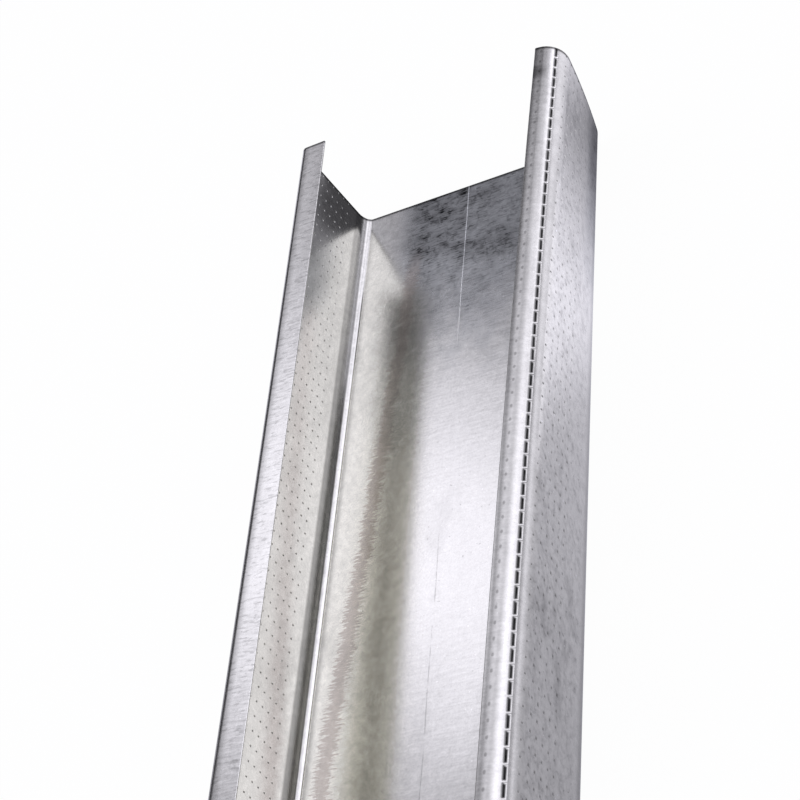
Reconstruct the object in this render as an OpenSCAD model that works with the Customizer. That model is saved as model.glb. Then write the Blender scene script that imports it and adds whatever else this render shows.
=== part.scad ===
// Steel wall stud: one strip of zinc coated sheet, rolled into a C with a lip on each flange.
// It lies on its web with the open side up, and runs along Y. The origin is on the
// underside of the web, halfway along. The end at +Y is the one that has sprung open.

/* [Section] */
// Width across the web, outside the bends
web_w = 76; // [50:0.5:150]
// Height of the left flange, from the underside of the web to the top of its lip
left_flange_h = 33; // [24:0.5:60]
// Height of the right flange, more than the left so that two studs nest
right_flange_h = 37.5; // [24:0.5:60]
// Width of the left lip, from the outside of its flange
left_lip_w = 8; // [6.2:0.1:16]
// Width of the right lip, from the outside of its flange
right_lip_w = 7.5; // [6.2:0.1:16]
// Thickness of the sheet
sheet_t = 0.6; // [0.4:0.05:1.2]

/* [Bends] */
// Outside radius of the bend between the web and the left flange
left_web_bend_r = 3.2; // [1.6:0.1:8]
// Outside radius of the bend between the web and the right flange
right_web_bend_r = 5; // [1.6:0.1:8]
// Outside radius of the bend between the left flange and its lip
left_lip_bend_r = 2; // [1.6:0.1:6]
// Outside radius of the bend between the right flange and its lip, a broad one
right_lip_bend_r = 6.5; // [1.6:0.1:8]
// Angle that the left lip is turned through
left_lip_turn = 94; // [80:0.5:105]
// Angle that the right lip is turned through
right_lip_turn = 90; // [80:0.5:105]

/* [Length] */
// Length of the stud between its two square cuts
stud_l = 2400; // [900:50:3600]

/* [Sprung end] */
// Length over which the flanges spread towards the cut at +Y
spread_l = 360; // [100:10:500]
// Angle that the left flange leans out at that cut
left_spread = 5; // [0:0.5:12]
// Angle that the right flange leans out at that cut
right_spread = 8; // [0:0.5:16]
// Angle that the right flange curves through at that cut, from its root to its lip
right_bow = 6; // [0:0.5:12]

/* [Hidden] */
// Flat facets round each quarter bend
bend_steps = 6;
// Flat facets up each flange
flange_steps = 5;
// Short lengths that make up the spreading end
spread_steps = 16;
half_t = sheet_t / 2;
cut_y = stud_l / 2;
spread_y = cut_y - spread_l;

// Points [x, z, heading] at mid sheet, round a left-hand bend from start, both ends included
function bend(start, heading, radius, turn) = [
    for (i = [0:bend_steps])
        let (now = heading + turn * i / bend_steps)
        [start[0] + radius * (sin(now) - sin(heading)),
         start[1] + radius * (cos(heading) - cos(now)),
         now]
];

// The point straight on from the last one of a path
function ahead(from, distance) = [
    from[0] + distance * cos(from[2]),
    from[1] + distance * sin(from[2]),
    from[2]
];

// Points up a flange after the one that it starts from, curving evenly through turn
function climb(from, height, turn, left = flange_steps) =
    left == 0 ? [] :
    let (
        step = ahead([from[0], from[1], from[2] + turn / flange_steps / 2], height / flange_steps),
        next = [step[0], step[1], from[2] + turn / flange_steps]
    )
    concat([next], climb(next, height, turn, left - 1));

// Mid sheet path of the right half, from the web to the edge of the lip. A flange that leans out
// opens its root bend to a wider one from the same length of sheet, and the lip's bend leaves
// half a sheet of flat at the lip's edge.
function half_path(web_bend_r, flange_h, lip_w, lip_bend_r, lip_turn, lean, bow) =
    let (
        root_turn = 90 - lean - bow / 2,
        root_r = (web_bend_r - half_t) * 90 / root_turn,
        fold_r = min(lip_bend_r, lip_w - half_t),
        root = bend([web_w / 2 - web_bend_r, half_t], 0, root_r, root_turn),
        flange = climb(root[bend_steps], flange_h - web_bend_r - fold_r, bow),
        top = flange[flange_steps - 1],
        fold = bend(top, top[2], fold_r - half_t, lip_turn),
        lip_edge = ahead(fold[bend_steps], lip_w - fold_r)
    )
    concat(root, [for (i = [0:flange_steps - 2]) flange[i]], fold, [lip_edge]);

function mirrored(path) = [
    for (i = [len(path) - 1:-1:0]) [-path[i][0], path[i][1], -path[i][2]]
];

// Face of the sheet on one side of a mid sheet path, out being its outside
function sheet_face(path, out) = [
    for (p = path) [p[0] + out * sin(p[2]), p[1] - out * cos(p[2])]
];

// Closed outline of the section, opened is 0 along the stud and 1 at the sprung cut
function section(opened) =
    let (
        left = half_path(left_web_bend_r, left_flange_h, left_lip_w, left_lip_bend_r, left_lip_turn,
                         left_spread * opened, 0),
        right = half_path(right_web_bend_r, right_flange_h, right_lip_w, right_lip_bend_r,
                          right_lip_turn, right_spread * opened, right_bow * opened),
        path = concat(mirrored(left), right),
        inside = sheet_face(path, -half_t)
    )
    concat(sheet_face(path, half_t), [for (i = [len(inside) - 1:-1:0]) inside[i]]);

module straight_run() {
    translate([0, spread_y, 0])
        rotate([90, 0, 0])
            linear_extrude(spread_y + cut_y)
                polygon(section(0));
}

// The flanges spread slowly at first and faster towards the cut
module sprung_end() {
    rings = [
        for (i = [0:spread_steps])
            let (along = i / spread_steps)
            [for (p = section(pow(along, 2))) [p[0], spread_y + spread_l * along, p[1]]]
    ];
    n = len(rings[0]);
    skin = [
        for (i = [0:spread_steps - 1], j = [0:n - 1])
            let (next = (j + 1) % n)
            each [
                [i * n + j, i * n + next, (i + 1) * n + j],
                [i * n + next, (i + 1) * n + next, (i + 1) * n + j]
            ]
    ];
    // The outline goes out along the outside and back along the inside, so j faces n - 1 - j
    caps = [
        for (j = [0:n / 2 - 2])
            let (strip = [j, n - 1 - j, n - 2 - j, j + 1], last = spread_steps * n)
            each [strip, [for (k = [3:-1:0]) last + strip[k]]]
    ];
    polyhedron([for (ring = rings) each ring], concat(skin, caps));
}

module stud() {
    color("silver")
        union() {
            straight_run();
            sprung_end();
        }
}

stud();
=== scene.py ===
import math

import bmesh
import bpy
from mathutils import Matrix, Vector


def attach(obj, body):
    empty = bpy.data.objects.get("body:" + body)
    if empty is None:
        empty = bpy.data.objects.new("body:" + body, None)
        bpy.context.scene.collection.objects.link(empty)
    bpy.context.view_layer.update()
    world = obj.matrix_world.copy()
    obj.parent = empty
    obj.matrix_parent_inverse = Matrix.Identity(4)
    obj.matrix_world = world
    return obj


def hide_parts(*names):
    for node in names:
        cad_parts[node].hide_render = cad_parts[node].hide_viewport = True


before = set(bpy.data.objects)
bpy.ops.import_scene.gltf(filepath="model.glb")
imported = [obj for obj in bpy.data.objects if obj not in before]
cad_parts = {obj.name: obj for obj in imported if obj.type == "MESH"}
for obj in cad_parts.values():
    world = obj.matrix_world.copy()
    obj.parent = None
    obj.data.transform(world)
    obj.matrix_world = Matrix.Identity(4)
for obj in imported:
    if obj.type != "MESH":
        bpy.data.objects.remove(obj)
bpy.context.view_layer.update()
scene = bpy.context.scene

# ---- Sizes of the stud, in metres: those of the part's source, but for the left root bend, which here
# tightens towards the web

MM = 0.001
WEB_W = 76 * MM
SHEET_T = 0.6 * MM
HALF_T = SHEET_T / 2
STUD_L = 2400 * MM
SPREAD_L = 360 * MM

# Steps in which a root bend turns through a right angle, and in which a flange rises below its dimples
BEND_STEPS = 9
PLAIN_STEPS = 3

# Each side: its way out from the web, the radii and steps of its root bend at mid sheet, flange height,
# lip width, bend radius and turn, how far it has sprung and curved at the cut, and its lip bend's steps
LEFT = dict(way=-1, root=((1.7 * MM, 3), (3 * MM, 3), (5.5 * MM, 3)), flange_h=33 * MM,
            lip_w=8 * MM, bend_r=2 * MM, turn=94, spread=5, bow=0, steps=6)
RIGHT = dict(way=1, root=((4.7 * MM, 9),), flange_h=37.5 * MM,
             lip_w=7.5 * MM, bend_r=6.5 * MM, turn=90, spread=8, bow=6, steps=9)

# Dimples: their pitch along the stud, and how many pitches are modelled before the sheet repeats
PITCH_COUNT = 594
PITCH = STUD_L / PITCH_COUNT
MODULE_PITCHES = 9
MODULE_COUNT = PITCH_COUNT // MODULE_PITCHES
MODULE_L = PITCH * MODULE_PITCHES
# On each flange: where the lowest row starts, the height of a row, the rows, and the width of a dimple
LEFT.update(first=8.6 * MM, cell=2.53 * MM, rows=8, dimple=0.62 * MM)
RIGHT.update(first=16 * MM, cell=2.97 * MM, rows=5, dimple=0.95 * MM)
# On the right lip's bend: which of its steps hold a row of dots and the row of dashes
DOT_ROW = 1
DASH_ROW = 4
DASH_W = 1.02 * MM
DASH_L = 3.4 * MM
DASH_DEEP = 0.16 * MM
DIMPLE_DEEP = 0.12 * MM
DIMPLE_SHIFT = 1.05 * MM
# How much painted shade the bottoms of the dashes and of the dimples get
DASH_SHADE = 1.0
DIMPLE_SHADE = 0.8
DEPTH_VARIES = 0.2 * MM
WORN_SPOT = 9 * MM
EDGE_ROUND = 0.22 * MM
END_ROUND = 0.13 * MM

# How near counts as the same place, as welded and as the outer face of a bend, how much of a normal lies
# along a way that it faces or doesn't, and what angle is a sheared corner
NEAR = 0.02 * MM
WELD = 0.005 * MM
SKIN = 0.1 * MM
FACING = 0.99
NOT_FACING = 0.1
CORNER = math.radians(80)


# ---- Hand tools

def start_piece(name, add, **how):
    """Adds a primitive with nothing else selected, names it and opens it for editing."""
    if bpy.context.mode != "OBJECT":
        bpy.ops.object.mode_set(mode="OBJECT")
    bpy.ops.object.select_all(action="DESELECT")
    add(**how)
    piece = bpy.context.object
    piece.name = piece.data.name = name
    bpy.ops.object.transform_apply(location=True, rotation=True, scale=True)
    bpy.ops.object.mode_set(mode="EDIT")
    return piece


def edit_mesh():
    """The mesh of the piece that is open for editing."""
    return bmesh.from_edit_mesh(bpy.context.edit_object.data)


def pick(kind, wanted):
    """Selects the vertices, edges or faces that are wanted, and nothing else."""
    bpy.ops.mesh.select_mode(type=kind)
    bpy.ops.mesh.select_all(action="DESELECT")
    mesh = edit_mesh()
    for part in {"VERT": mesh.verts, "EDGE": mesh.edges, "FACE": mesh.faces}[kind]:
        if not part.hide and wanted(part):
            part.select_set(True)
    mesh.select_flush_mode()
    bmesh.update_edit_mesh(bpy.context.edit_object.data)


def finish_with(piece, kind, **settings):
    """Gives a piece a modifier and applies it."""
    if bpy.context.mode != "OBJECT":
        bpy.ops.object.mode_set(mode="OBJECT")
    made = piece.modifiers.new(kind.lower(), kind)
    for key, value in settings.items():
        setattr(made, key, value)
    bpy.ops.object.modifier_apply(modifier=made.name)


def middle(part):
    """Middle of an edge or a face."""
    return sum((v.co for v in part.verts), 0 * part.verts[0].co) / len(part.verts)


# ---- The stud

def fold_side(side):
    """Rolls up one flange and its lip from the edge of the web, at mid sheet."""
    way, step = side["way"], math.radians(90 / BEND_STEPS)
    x, z, heading = root_start(side), HALF_T, 0.0
    fold_z = side["flange_h"] - side["bend_r"]
    pick("EDGE", lambda e: all(abs(v.co.x - way * x) < NEAR for v in e.verts))
    for radius, steps in side["root"]:
        centre_x, centre_z = x - radius * math.sin(heading), z + radius * math.cos(heading)
        bpy.ops.mesh.spin(steps=steps, angle=steps * step, axis=(0, way, 0),
                          center=(way * centre_x, 0, centre_z))
        heading += steps * step
        x, z = centre_x + radius * math.sin(heading), centre_z - radius * math.cos(heading)
    lifts = [(side["first"] - z) / PLAIN_STEPS] * PLAIN_STEPS + [side["cell"]] * side["rows"]
    lifts.append(fold_z - z - sum(lifts))
    for lift in lifts:
        bpy.ops.mesh.extrude_edges_move(TRANSFORM_OT_translate={"value": (0, 0, lift)})
    bpy.ops.mesh.spin(steps=side["steps"], angle=math.radians(side["turn"]), axis=(0, way, 0),
                      center=(way * (WEB_W / 2 - side["bend_r"]), 0, fold_z))
    lip, heading = side["lip_w"] - side["bend_r"], math.radians(90 + side["turn"])
    bpy.ops.mesh.extrude_edges_move(TRANSFORM_OT_translate={
        "value": (way * lip * math.cos(heading), 0, lip * math.sin(heading))})
    side["path"] = follow_section(way)


def root_start(side):
    """How far out from the middle of the web the root bend starts."""
    reach, heading = 0.0, 0.0
    for radius, steps in side["root"]:
        onward = heading + math.radians(90 / BEND_STEPS * steps)
        reach += radius * (math.sin(onward) - math.sin(heading))
        heading = onward
    return WEB_W / 2 - HALF_T - reach


def follow_section(way):
    """The section at mid sheet on one side, from the edge of the flat web to the edge of the lip: each
    point, and how far across the flat strip it lies."""
    row = [v for v in edit_mesh().verts if abs(v.co.y + STUD_L / 2) < NEAR and v.co.x * way > 0]
    at = min(row, key=lambda v: (round(v.co.z, 6), abs(v.co.x)))
    path = [(at.co.copy(), abs(at.co.x))]
    while True:
        row.remove(at)
        beyond = [e.other_vert(at) for e in at.link_edges if e.other_vert(at) in row]
        if not beyond:
            return path
        at = beyond[0]
        path.append((at.co.copy(), path[-1][1] + (at.co - path[-1][0]).length))


def bend_angle(point):
    """How far round the right lip's bend a point is, in steps of that bend, and how far from its centre."""
    out = point.x - (WEB_W / 2 - RIGHT["bend_r"])
    up = point.z - (RIGHT["flange_h"] - RIGHT["bend_r"])
    return math.degrees(math.atan2(up, out)) / (RIGHT["turn"] / RIGHT["steps"]), math.hypot(out, up)


def dimpled_band(face):
    """What is rolled into a face: 'left' or 'right' dimples on a flange, 'dots' or 'dashes' on the bend of
    the right lip, or None."""
    at = middle(face)
    for side, name, shows in ((LEFT, "left", at.x < -WEB_W / 2 + 2 * SHEET_T),
                              (RIGHT, "right", at.x > WEB_W / 2 - NEAR)):
        if face.normal.x > FACING and shows and 0 < at.z - side["first"] < side["cell"] * side["rows"]:
            return name
    step, radius = bend_angle(at)
    if radius > RIGHT["bend_r"] - SKIN and abs(face.normal.y) < NOT_FACING:
        return {DOT_ROW: "dots", DASH_ROW: "dashes"}.get(int(step))
    return None


def press_dimples():
    """Presses the dimples of one module into the faces they show on, and marks their bottoms for painted
    shade.
    """
    first = -STUD_L / 2
    for k in range(1, MODULE_PITCHES):
        pick("FACE", dimpled_band)
        bpy.ops.mesh.bisect(plane_co=(0, first + k * PITCH, 0), plane_no=(0, 1, 0))
    edit_mesh().verts.layers.float.new("pit")
    bend_cell = 2 * RIGHT["bend_r"] * math.sin(math.radians(RIGHT["turn"] / RIGHT["steps"] / 2))
    draw_pits("dashes", bend_cell, DASH_W, DASH_L, 0)
    bpy.ops.mesh.inset(thickness=DASH_W / 3, depth=-DASH_DEEP, use_individual=True)
    mark_pits(lambda v: v.select, DASH_SHADE)
    for band, height, width in (("left", LEFT["cell"], LEFT["dimple"]),
                                ("right", RIGHT["cell"], RIGHT["dimple"]),
                                ("dots", bend_cell, LEFT["dimple"])):
        draw_pits(band, height, width, width, DIMPLE_SHIFT)
        bpy.ops.mesh.poke(offset=-DIMPLE_DEEP)
        bpy.ops.mesh.faces_shade_flat()
        mark_pits(lambda v: v.select and is_tip(v), DIMPLE_SHADE)


def draw_pits(band, height, width, length, shift):
    """Leaves a small face selected inside each face of a band, of that width and length."""
    pick("FACE", lambda f: dimpled_band(f) == band)
    bpy.ops.mesh.inset(thickness=(height - width) / 2, depth=0, use_individual=True)
    pits = [middle(f) for f in edit_mesh().faces if f.select]

    def inner(face):
        return any((middle(face) - at).length < NEAR for at in pits)

    for centre in sorted({round(at.y, 6) for at in pits}):
        pick("FACE", lambda f: abs(middle(f).y - centre) < NEAR and inner(f))
        bpy.ops.transform.resize(value=(1, length / (PITCH - height + width), 1),
                                 center_override=(0, centre, 0))
    pick("FACE", inner)
    bpy.ops.transform.translate(value=(0, shift, 0))


def is_tip(vertex):
    """The bottom of a poked dimple: a point where four triangles meet."""
    return len(vertex.link_faces) == 4 and all(len(f.verts) == 3 for f in vertex.link_faces)


def mark_pits(at_bottom, darkness):
    """Notes on the vertices at the bottom of each pit how much painted shade it gets."""
    mesh = edit_mesh()
    pit = mesh.verts.layers.float["pit"]
    for vertex in mesh.verts:
        if at_bottom(vertex):
            vertex[pit] = darkness


def build_stud():
    """The whole sheet: one module folded from a strip, repeated along the stud, sprung open at the cut."""
    first = -STUD_L / 2
    stud = start_piece("stud_sheet", bpy.ops.mesh.primitive_plane_add, size=1,
                       location=(0, first + MODULE_L / 2, HALF_T))
    left, right = root_start(LEFT), root_start(RIGHT)
    bpy.ops.transform.resize(value=(left + right, MODULE_L, 1),
                             center_override=(0, first + MODULE_L / 2, HALF_T))
    bpy.ops.transform.translate(value=((right - left) / 2, 0, 0))
    fold_side(RIGHT)
    fold_side(LEFT)
    bpy.ops.mesh.select_all(action="SELECT")
    bpy.ops.mesh.normals_make_consistent(inside=False)
    finish_with(stud, "SOLIDIFY", thickness=SHEET_T, offset=0, use_even_offset=True)
    bpy.ops.object.mode_set(mode="EDIT")
    pick("FACE", lambda f: abs(f.normal.y) > FACING)
    bpy.ops.mesh.delete(type="FACE")
    pick("EDGE", lambda e: len(e.link_faces) == 2 and e.calc_face_angle() > CORNER)
    bpy.ops.mesh.bevel(offset=EDGE_ROUND, segments=3, affect="EDGES")
    bpy.ops.mesh.select_all(action="SELECT")
    bpy.ops.mesh.faces_shade_smooth()
    press_dimples()
    finish_with(stud, "ARRAY", count=MODULE_COUNT, use_relative_offset=False,
                use_constant_offset=True, constant_offset_displace=(0, MODULE_L, 0),
                use_merge_vertices=True, merge_threshold=WELD)
    vary_depths(stud)
    bpy.ops.object.mode_set(mode="EDIT")
    for end in (-STUD_L / 2, STUD_L / 2):
        pick("EDGE", lambda e: all(abs(v.co.y - end) < NEAR for v in e.verts))
        bpy.ops.mesh.edge_face_add()
        bpy.ops.mesh.bevel(offset=END_ROUND, segments=2, affect="EDGES")
    bpy.ops.mesh.select_all(action="SELECT")
    lay_out_flat(stud)
    for side in (RIGHT, LEFT):
        spring_open(side)
    finish_with(stud, "WEIGHTED_NORMAL", keep_sharp=True)
    return stud


def vary_depths(piece):
    """Makes the dimples deeper in some places and shallower in others, as worn rollers do."""
    bpy.ops.object.mode_set(mode="EDIT")
    pit = edit_mesh().verts.layers.float["pit"]
    pick("VERT", lambda v: v[pit] > 0.5)
    group = piece.vertex_groups.new(name="pits")
    bpy.ops.object.vertex_group_assign()
    cloud = bpy.data.textures.new("roller_wear", "CLOUDS")
    cloud.noise_scale = WORN_SPOT
    cloud.noise_depth = 1
    finish_with(piece, "DISPLACE", texture=cloud, strength=DEPTH_VARIES, mid_level=0.5,
                vertex_group=group.name, direction="NORMAL")
    piece.vertex_groups.clear()


def lay_out_flat(piece):
    """Gives the sheet a UV map of the flat strip: across it from the middle of the web, and along it."""
    mesh = edit_mesh()
    flat = mesh.loops.layers.uv.new("flat_strip")
    places = {}
    for face in mesh.faces:
        for loop in face.loops:
            at = loop.vert.co
            key = (round(at.x, 5), round(at.z, 5))
            if key not in places:
                places[key] = across_strip(at)
            loop[flat].uv = (places[key], at.y)
    bmesh.update_edit_mesh(piece.data)


def across_strip(point):
    """How far across the flat strip a point of the unsprung section is, from the middle of the web."""
    side = RIGHT if point.x > 0 else LEFT
    at = Vector((point.x, 0, point.z))
    nearest, across = math.inf, 0.0
    path = [(Vector((0, 0, HALF_T)), 0.0)] + side["path"]
    for (start, from_start), (end, _) in zip(path, path[1:]):
        start, end = Vector((start.x, 0, start.z)), Vector((end.x, 0, end.z))
        share = min(max((at - start).dot(end - start) / (end - start).length_squared, 0), 1)
        away = (start + share * (end - start) - at).length
        if away < nearest:
            nearest, across = away, from_start + share * (end - start).length
    return side["way"] * across


def hinge_lines(side):
    """Lines along which the sheet gives as a side springs open, from the lip down to the root: how far
    across the strip each is, its place in the section, and its turn outwards in degrees."""
    lean = (side["spread"] + side["bow"] / 2) / BEND_STEPS
    lines = [(across, at, lean) for at, across in side["path"][1:BEND_STEPS + 1]]
    if side["bow"]:
        flange = side["path"][BEND_STEPS:BEND_STEPS + PLAIN_STEPS + side["rows"] + 2]
        height = flange[-1][1] - flange[0][1]
        for (_, before), (at, across), (_, after) in zip(flange, flange[1:], flange[2:]):
            lines.append((across, at, -side["bow"] * (after - before) / 2 / height))
    return sorted(lines, key=lambda line: -line[0])


def spring_open(side):
    """Leans and bows a flange out towards the cut at +Y, slowly at first."""
    way = side["way"]
    mesh = edit_mesh()
    flat = mesh.loops.layers.uv["flat_strip"]
    across = {v.index: v.link_loops[0][flat].uv.x * way for v in mesh.verts}
    for line, at, turn in hinge_lines(side):
        bpy.ops.mesh.reveal(select=False)
        pick("VERT", lambda v: across[v.index] < line + NEAR)
        bpy.ops.mesh.hide()
        pick("VERT", lambda v: v.co.y > STUD_L / 2 - END_ROUND - NEAR)
        bpy.ops.transform.rotate(
            value=-way * math.radians(turn), orient_axis="Y", center_override=(at.x, 0, at.z),
            use_proportional_edit=True, proportional_edit_falloff="SHARP", proportional_size=SPREAD_L)
    bpy.ops.mesh.reveal(select=False)


# ---- Nodes

class Value:
    """A socket that takes Python's operators: each one adds a Math node."""

    def __init__(self, net, socket):
        self.net, self.socket = net, socket

    def math(self, operation, *others):
        """What a Math node makes of this socket and others."""
        return self.net.add("Math", {"operation": operation}, dict(enumerate((self, *others))))

    def __add__(self, other):
        return self.math("ADD", other)

    def __sub__(self, other):
        return self.math("SUBTRACT", other)

    def __rsub__(self, other):
        return (-1 * self) + other

    def __mul__(self, other):
        return self.math("MULTIPLY", other)

    def __truediv__(self, other):
        return self.math("DIVIDE", other)

    __radd__ = __add__
    __rmul__ = __mul__


class Net:
    """The nodes of one material or world, which start from none."""

    def __init__(self, owner):
        owner.use_nodes = True
        self.tree = owner.node_tree
        self.tree.nodes.clear()

    def add(self, kind, settings=None, inputs=None, out=0):
        """Adds a node, makes its settings, fills its sockets, and gives back one of its outputs."""
        node = self.tree.nodes.new("ShaderNode" + kind)
        for key, value in (settings or {}).items():
            setattr(node, key, value)
        for key, value in (inputs or {}).items():
            if isinstance(value, Value):
                self.tree.links.new(value.socket, node.inputs[key])
            else:
                node.inputs[key].default_value = value
        return Value(self, node.outputs[out]) if node.outputs else None

    def ramp(self, value, start, end, low=0.0, high=1.0):
        """Goes smoothly from low to high as a value goes from start to end."""
        return self.add("MapRange", {"interpolation_type": "SMOOTHSTEP"},
                        {"Value": value, "From Min": start, "From Max": end, "To Min": low, "To Max": high})

    def parts(self, vector):
        """The X and Y of a vector."""
        apart = self.add("SeparateXYZ", inputs={0: vector})
        return apart, Value(self, apart.socket.node.outputs["Y"])

    def mix(self, colour, share, other):
        """A colour, or where the share is 1 another."""
        return self.add("Mix", {"data_type": "VECTOR"}, {0: share, 4: colour, 5: other}, out=1)

    def tint(self, value, colour):
        """A colour as bright as a value says."""
        return self.add("VectorMath", {"operation": "SCALE"}, {0: colour, "Scale": value})


# ---- Finish

# Places across the flat strip, from the middle of the web, with the right side positive
WEB_FLAT = (-34 * MM, 33 * MM)
RIGHT_FLANGE = (44 * MM, 66.5 * MM)
LEFT_LIP = (-68 * MM, -70 * MM)
RIGHT_LIP = (72.6 * MM, 74.2 * MM)
LEFT_ROOT = (-40.9 * MM, -39.5 * MM)
RIGHT_ROOT = (35.5 * MM, 39.5 * MM)
LEFT_BEND = (-69.2 * MM, -67 * MM)
DASH_GROOVE = (71.2 * MM, 71.8 * MM)
LIP_DOTS = 75.3 * MM
BRIGHT_LINE = (-3.65 * MM, -3.55 * MM)
DARK_LINE = (-4.65 * MM, -4.55 * MM)
BLOT_AT = (76.5 * MM, 1190 * MM, 0)

# The brownish band, a painted reflection of the left flange: its places across at the cut and at its
# furthest left, how far left it goes in each metre from the cut, and half its width
BROWN_FROM = -17 * MM
BROWN_TO = -30 * MM
BROWN_SLANT = -0.068
BROWN_HALF = 1.2 * MM

# Colours of the zinc: as it is rolled, dulled by handling, and in the brown painted reflection on the web
ZINC = (0.825, 0.82, 0.755)
HANDLED_ZINC = (0.78, 0.80, 0.775)
REFLECTED_BROWN = (0.82, 0.765, 0.70)

# Heights of the relief in the zinc, and of its scratches, in metres
WAVES_H = 200e-6
RIPPLE_H = 6e-6
WEB_RIPPLE_H = 3e-6
LIP_RIPPLE_H = 10e-6
PEEL_H = 3.5e-6
ROLLED_H = 0.4e-6
DARK_LINE_H = 5e-6
BRIGHT_LINE_H = 15e-6


class Zinc(Net):
    """The nodes of the zinc, and the patterns in it that several of its marks follow."""

    def __init__(self, owner):
        super().__init__(owner)
        self.across, self.along = self.parts(self.add("UVMap", {"uv_map": "flat_strip"}))
        self.from_cut = STUD_L / 2 - self.along
        self.on_web = self.band(self.across, *WEB_FLAT, 3 * MM)
        self.on_left_lip = self.ramp(self.across, *LEFT_LIP)
        self.on_right = self.band(self.across, *RIGHT_FLANGE, 3 * MM)
        self.on_right_lip = self.ramp(self.across, *RIGHT_LIP)
        self.cloud = self.noise(16 * MM, 34 * MM, 3, 0.55, 1.3)
        self.mottle = self.noise(2.2 * MM, 2.6 * MM, 3, 0.6, 4.1, bend=0.6)
        self.streak = self.noise(2.4 * MM, 0.7 * MM, 2, 0.6, 9.4)
        self.rolled = self.noise(0.35 * MM, 90 * MM, 2, 0.6, 2.2)
        self.pits = self.ramp(self.noise(1.0 * MM, 1.2 * MM, 1, 0.5, 12.6), 0.72, 0.80)
        self.edge_wear = self.noise(7 * MM, 9 * MM, 3, 0.6, 20.4) - 0.5

    def noise(self, width, length, detail, rough, seed, bend=0.0):
        """Noise from 0 to 1 in spots of that width across the sheet and that length along it."""
        spot = self.add("CombineXYZ", inputs={0: self.across / width, 1: self.along / length, 2: seed})
        return self.add("TexNoise", inputs={
            "Vector": spot, "Scale": 1.0, "Detail": detail, "Roughness": rough, "Distortion": bend})

    def band(self, place, start, end, fade):
        """1 between two places, fading to 0 outside them."""
        return self.ramp(place, start - fade, start) * self.ramp(place, end + fade, end)

    def as_rolled(self):
        """How bright the clean sheet is: faint clouds, mottle and grain, dark flecks and flecks of painted
        glint, and the duller specks and smudges of the right flange."""
        grain = self.noise(0.5 * MM, 0.6 * MM, 1, 0.6, 7.7)
        # Small painted glints, brightest on the right flange
        painted_glints = self.ramp(self.noise(0.8 * MM, 1.0 * MM, 1, 0.5, 15.1), 0.71, 0.80)
        specks = self.ramp(self.noise(1.5 * MM, 1.7 * MM, 2, 0.6, 35.2), 0.45, 0.75)
        smudge = self.ramp(self.noise(11 * MM, 24 * MM, 4, 0.65, 61.3), 0.5, 0.7)
        shade = (0.90 + 0.14 * self.cloud) * (0.77 + 0.44 * self.mottle) * (0.90 + 0.2 * grain)
        shade = shade * (1 - (0.05 + 0.45 * self.on_right) * self.pits)
        shade = shade * (1 + (0.2 + 0.4 * self.on_right) * painted_glints) * (0.97 + 0.06 * self.rolled)
        shade = shade * (1 - self.on_right * (0.2 * specks + 0.16 * self.ramp(self.mottle, 0.5, 0.3)))
        shade = shade * (1 - smudge * (0.2 * self.on_right + 0.1))
        return shade * (1 - self.on_left_lip * 0.28 * self.ramp(self.streak, 0.5, 0.7))

    def handled(self):
        """Where handling has dulled the sheet: a patch of the web next to the cut, widest at the cut."""
        narrows = self.ramp(self.from_cut, 23 * MM, 42 * MM) * (9 * MM)
        patch = self.ramp(self.across - narrows, -29 * MM, -18 * MM)
        patch = patch * self.ramp(self.across, 51 * MM, 42 * MM)
        return patch * self.ramp(self.from_cut + self.edge_wear * (40 * MM), 76 * MM, 28 * MM)

    def grime(self):
        """How much of its brightness the handled patch has lost: to a dull film, soot, blotches and fine
        scuffs across the sheet."""
        soot = self.ramp(self.noise(26 * MM, 15 * MM, 3, 0.6, 66.8), 0.38, 0.66)
        soot = soot * self.ramp(self.from_cut, 48 * MM, 25 * MM)
        blotch = self.ramp(self.noise(6 * MM, 5 * MM, 4, 0.7, 27.5), 0.3, 0.7)
        scuff = self.ramp(self.noise(3.2 * MM, 0.45 * MM, 2, 0.6, 70.1), 0.48, 0.68)
        return 0.30 + 0.23 * soot + 0.17 * blotch + 0.24 * scuff + 0.2 * self.ramp(self.mottle, 0.45, 0.65)

    def at_cut(self):
        """How bright the painted shade along the cut is, and the blot near it on the right lip."""
        # A line of painted shade along the cut
        cut_line = self.ramp(self.from_cut, 1.3 * MM, 0.5 * MM)
        spot = self.add("CombineXYZ", inputs={0: self.across + self.edge_wear * (3 * MM), 1: self.along})
        away = self.add("VectorMath", {"operation": "DISTANCE"}, {0: spot, 1: BLOT_AT}, out="Value")
        return (1 - 0.8 * cut_line) * (1 - 0.55 * self.ramp(away, 3.8 * MM, 1.0 * MM))

    def shade_in_pits(self):
        """How bright the dimples and dashes are, with painted shade in their bottoms."""
        pit = self.add("Attribute", {"attribute_name": "pit"}, out="Fac")
        return 1 - pit * (0.75 + 0.35 * self.mottle)

    def shade_along_bends(self):
        """How bright the painted shade is along the root bends and the left lip's bend, and down the right
        lip.
        """
        # Painted shade in the left root's crease, on the right root bend, along the left lip's bend and
        # down the right lip
        left_root = self.band(self.across, *LEFT_ROOT, 1.3 * MM)
        left_root = left_root * self.ramp(self.from_cut, 0, 90 * MM, 0.7, 1.0)
        right_root = self.band(self.across, *RIGHT_ROOT, 3 * MM)
        left_bend = self.band(self.across, *LEFT_BEND, 2.4 * MM)
        right_lip = self.on_right_lip * self.ramp(self.from_cut, 20 * MM, 90 * MM, 0.32, 0.40)
        right_lip = right_lip * (0.7 + 0.6 * self.streak)
        return 1 - (0.52 * left_root + 0.4 * right_root + 0.45 * left_bend + right_lip)

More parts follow.
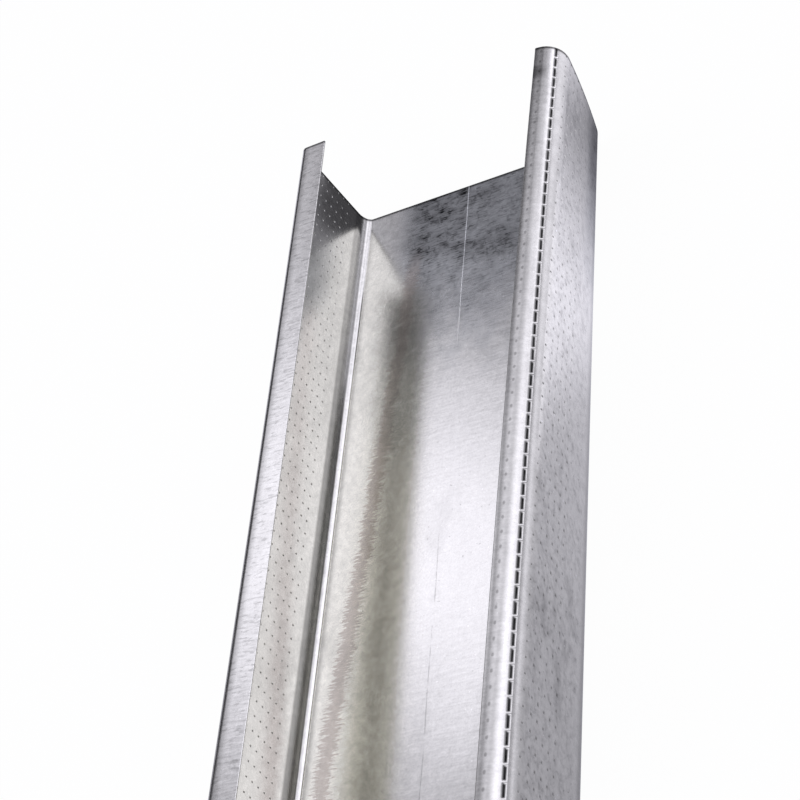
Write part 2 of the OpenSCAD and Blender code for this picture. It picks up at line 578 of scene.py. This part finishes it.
    def round_right_bend(self):
        """How bright the painted shade of the groove is between the dashes, and the row of dots beside it
        on the lip.
        """
        step = ((self.along / PITCH).math("FRACT") - 0.5) * PITCH
        # Painted shade along the groove of the dashes
        groove = self.band(self.across, *DASH_GROOVE, 0.25 * MM)
        groove = groove * self.ramp(step.math("ABSOLUTE"), 1.95 * MM, 1.5 * MM)
        spot = self.add("CombineXYZ", inputs={0: self.across - LIP_DOTS, 1: step * 0.6})
        away = self.add("VectorMath", {"operation": "LENGTH"}, {0: spot}, out="Value")
        return (1 - 0.5 * groove) * (1 - 0.4 * self.ramp(away, 0.45 * MM, 0.15 * MM))

    def painted_reflection(self):
        """A painted reflection: a brownish band down the web where the left flange mirrors in it, ragged
        along both sides.
        """
        ragged = (self.noise(2.6 * MM, 0.5 * MM, 2, 0.7, 31.8) - 0.5) * (8 * MM)
        ragged = ragged + (self.cloud - 0.5) * (4 * MM)
        slant = (self.from_cut * BROWN_SLANT + BROWN_FROM).math("MAXIMUM", BROWN_TO)
        mirrored_brown = self.band(self.across + ragged - slant, -BROWN_HALF, BROWN_HALF, 1.5 * MM)
        return mirrored_brown * self.ramp(self.from_cut, 16 * MM, 32 * MM)

    def scratches(self):
        """One long bright scratch and a finer dark one, both nearly straight."""
        wander = (self.noise(400 * MM, 30 * MM, 1, 0.5, 40.2) - 0.5) * (0.8 * MM)
        bright = self.band(self.across + wander - 0.008 * self.from_cut, *BRIGHT_LINE, 0.13 * MM)
        bright = bright * self.ramp(self.from_cut, 66 * MM, 50 * MM)
        dark = self.band(self.across + wander - 0.0056 * self.from_cut, *DARK_LINE, 0.13 * MM)
        dark = dark * self.ramp(self.from_cut, 110 * MM, 140 * MM)
        return bright, dark * self.ramp(self.noise(40 * MM, 9 * MM, 2, 0.6, 47.0), 0.35, 0.55)

    def relief(self, bright_line, dark_line):
        """Height of the surface: what the rollers left, from broad waves down to fine orange peel."""
        waves = self.noise(60 * MM, 55 * MM, 1, 0.4, 50.5) * WAVES_H
        ripple = self.noise(6 * MM, 1.2 * MM, 1, 0.5, 53.9)
        ripple = ripple * (WEB_RIPPLE_H * self.on_web + LIP_RIPPLE_H * self.on_left_lip + RIPPLE_H)
        peel = self.noise(0.9 * MM, 1.0 * MM, 1, 0.5, 57.1) * PEEL_H
        height = waves + ripple + peel + self.rolled * ROLLED_H
        return height - DARK_LINE_H * dark_line + BRIGHT_LINE_H * bright_line


def galvanized():
    """Zinc coated sheet: bright, mottled, marked by the rollers, with a few scratches and stains, and
    painted shade, glints and a reflection.
    """
    made = bpy.data.materials.new("galvanized_sheet")
    net = Zinc(made)
    handled, mirrored_brown = net.handled(), net.painted_reflection()
    bright_line, dark_line = net.scratches()
    shade = net.as_rolled() * (1 - handled * net.grime()) * net.at_cut() * net.shade_in_pits()
    shade = shade * net.shade_along_bends() * net.round_right_bend()
    # The brownish band of painted reflection also darkens the sheet, more away from the cut
    shade = shade * (1 - mirrored_brown * net.ramp(net.from_cut, 20 * MM, 120 * MM, 0.10, 0.30))
    shade = shade * (1 - 0.22 * dark_line) + 0.5 * bright_line
    colour = net.tint(shade, net.mix(net.mix(ZINC, handled, HANDLED_ZINC), mirrored_brown, REFLECTED_BROWN))
    rough = 0.13 + 0.07 * net.mottle + 0.05 * net.cloud + 0.06 * net.pits
    rough = rough + 0.10 * handled + 0.25 * bright_line
    bump = net.add("Bump", inputs={
        "Strength": 1.0, "Distance": 1.0, "Height": net.relief(bright_line, dark_line)})
    shader = net.add("BsdfPrincipled", inputs={
        "Base Color": colour, "Metallic": 1.0, "Roughness": rough, "Normal": bump})
    net.add("OutputMaterial", inputs={"Surface": shader})
    return made


stud = build_stud()
stud.data.materials.append(galvanized())
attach(stud, "root")
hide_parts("stud")

# ---- Camera

# Where the camera stands, the ways its right, top and back face, and its lens in millimetres
CAMERA_AT = (0.212219, 0.746764, 0.361922)
RIGHTWARD = (0.8738743, 0.0768707, -0.4800360)
UPWARD = (0.2681755, 0.7473739, 0.6078768)
BACKWARD = (0.4054943, -0.6599418, 0.6324960)
LENS = 96.856
camera = bpy.data.objects.new("camera", bpy.data.cameras.new("camera"))
scene.collection.objects.link(camera)
camera.data.lens = LENS
camera.data.sensor_width = 36
camera.data.clip_start = 20 * MM
place = Matrix((RIGHTWARD, UPWARD, BACKWARD)).transposed().to_4x4()
place.translation = CAMERA_AT
camera.matrix_world = place
scene.camera = camera

# ---- Studio: a plain floor and soft light all round

# Soft round patches of the studio light: bearing from +Y towards +X, height, reach and fade, all in
# degrees, and how much lighter or darker each is than the rest
ROOM_LIGHT = 0.39
PATCHES = (
    (-51, 15, 11, 12, -0.30),
    (38, 24, 5, 5, 0.70),
    (11, 34, 5, 6, -0.50),
    (-32, 33, 2, 5, 0.30),
    (-33, 43, 1, 8, 1.40),
    (30, 48, 6, 25, 1.05),
    (-12, 40, 12.5, 5, -0.50),
    (27, 18, 5, 7, 1.76),
    (94, 46, 13, 7, 0.98),
    (-103, 55, 17, 13, 1.81),
    (9, 82, 15, 14, 0.20),
    (25, 25, 9, 8, -0.43),
    (67, 26, 6, 13, 0.87),
    (-11, 50, 2, 13, 1.42),
    (180, 20, 55, 25, 0.43),
)
# Patches of the floor as the metal mirrors it: place, reach and fade in metres, and the change
FLOOR_PATCHES = (
    (0.073, 1.154, 0.024, 0.044, 0.36),
    (0.003, 1.197, 0.031, 0.047, -0.53),
    (-0.043, 1.228, 0.010, 0.025, -1.20),
)
DIMMEST, BRIGHTEST = 0.06, 2.0
ROOM_TINT = (1.0, 0.985, 1.14)
WHITE = (1, 1, 1, 1)
PALE = (0.8, 0.8, 0.8, 1)
FLOOR_W = 40
FLOOR_Z = -0.5 * MM
FLOOR_WHITENESS = 0.97


def studio_light():
    """The world: plain white to the camera, and soft patches of light to the metal."""
    world = bpy.data.worlds.new("studio")
    net = Net(world)
    heading = net.add("TexCoord", out="Generated")
    light = ROOM_LIGHT
    for azimuth, height, reach, fade, change in PATCHES:
        a, e = math.radians(azimuth), math.radians(height)
        centre = (math.sin(a) * math.cos(e), math.cos(a) * math.cos(e), math.sin(e))
        away = net.add("VectorMath", {"operation": "DOT_PRODUCT"}, {0: heading, 1: centre}, out="Value")
        angle = away.math("ARCCOSINE")
        light = light + change * net.ramp(angle, math.radians(reach + fade), math.radians(reach))
    light = net.add("Clamp", inputs={"Value": light, "Min": DIMMEST, "Max": BRIGHTEST})
    lit = net.add("Background", inputs={"Color": net.tint(light, ROOM_TINT)})
    white = net.add("Background", inputs={"Color": WHITE})
    seen = net.add("LightPath", out="Is Camera Ray")
    net.add("OutputWorld", inputs={"Surface": net.add("MixShader", inputs={0: seen, 1: lit, 2: white})})
    return world


def floor_paint():
    """Pale floor: white to the camera but for the shadow, and softly uneven to the metal."""
    made = bpy.data.materials.new("pale_floor")
    net = Net(made)
    x, y = net.parts(net.add("TexCoord", out="Object"))
    beyond_the_cut = net.ramp(y, 0.9, 1.4, 0.37, 0.97)
    beside_the_stud = net.ramp(y, 0.8, 0.4, 0, 0.45)
    gleam = beyond_the_cut + beside_the_stud
    for centre_x, centre_y, reach, fade, change in FLOOR_PATCHES:
        away = net.add("VectorMath", {"operation": "DISTANCE"}, out="Value", inputs={
            0: net.add("CombineXYZ", inputs={0: x, 1: y}), 1: (centre_x, centre_y, 0)})
        gleam = gleam + change * net.ramp(away, reach + fade, reach)
    gleam = net.add("Clamp", inputs={"Value": gleam, "Min": DIMMEST, "Max": BRIGHTEST})
    plain = net.add("BsdfPrincipled", inputs={"Base Color": PALE, "Roughness": 0.9})
    bright = net.add("Emission", inputs={"Color": net.tint(gleam, ROOM_TINT)})
    white = net.add("Emission", inputs={"Color": WHITE})
    seen = net.add("LightPath", out="Is Camera Ray")
    glossy = net.add("LightPath", out="Is Glossy Ray")
    shadowed = net.add("MixShader", inputs={0: FLOOR_WHITENESS * seen, 1: plain, 2: white})
    paint = net.add("MixShader", inputs={0: glossy, 1: shadowed, 2: bright})
    net.add("OutputMaterial", inputs={"Surface": paint})
    return made


floor = start_piece("floor", bpy.ops.mesh.primitive_plane_add, size=FLOOR_W, location=(0, 0, FLOOR_Z))
bpy.ops.object.mode_set(mode="OBJECT")
floor.data.materials.append(floor_paint())
scene.world = studio_light()

scene.view_settings.view_transform = "Standard"
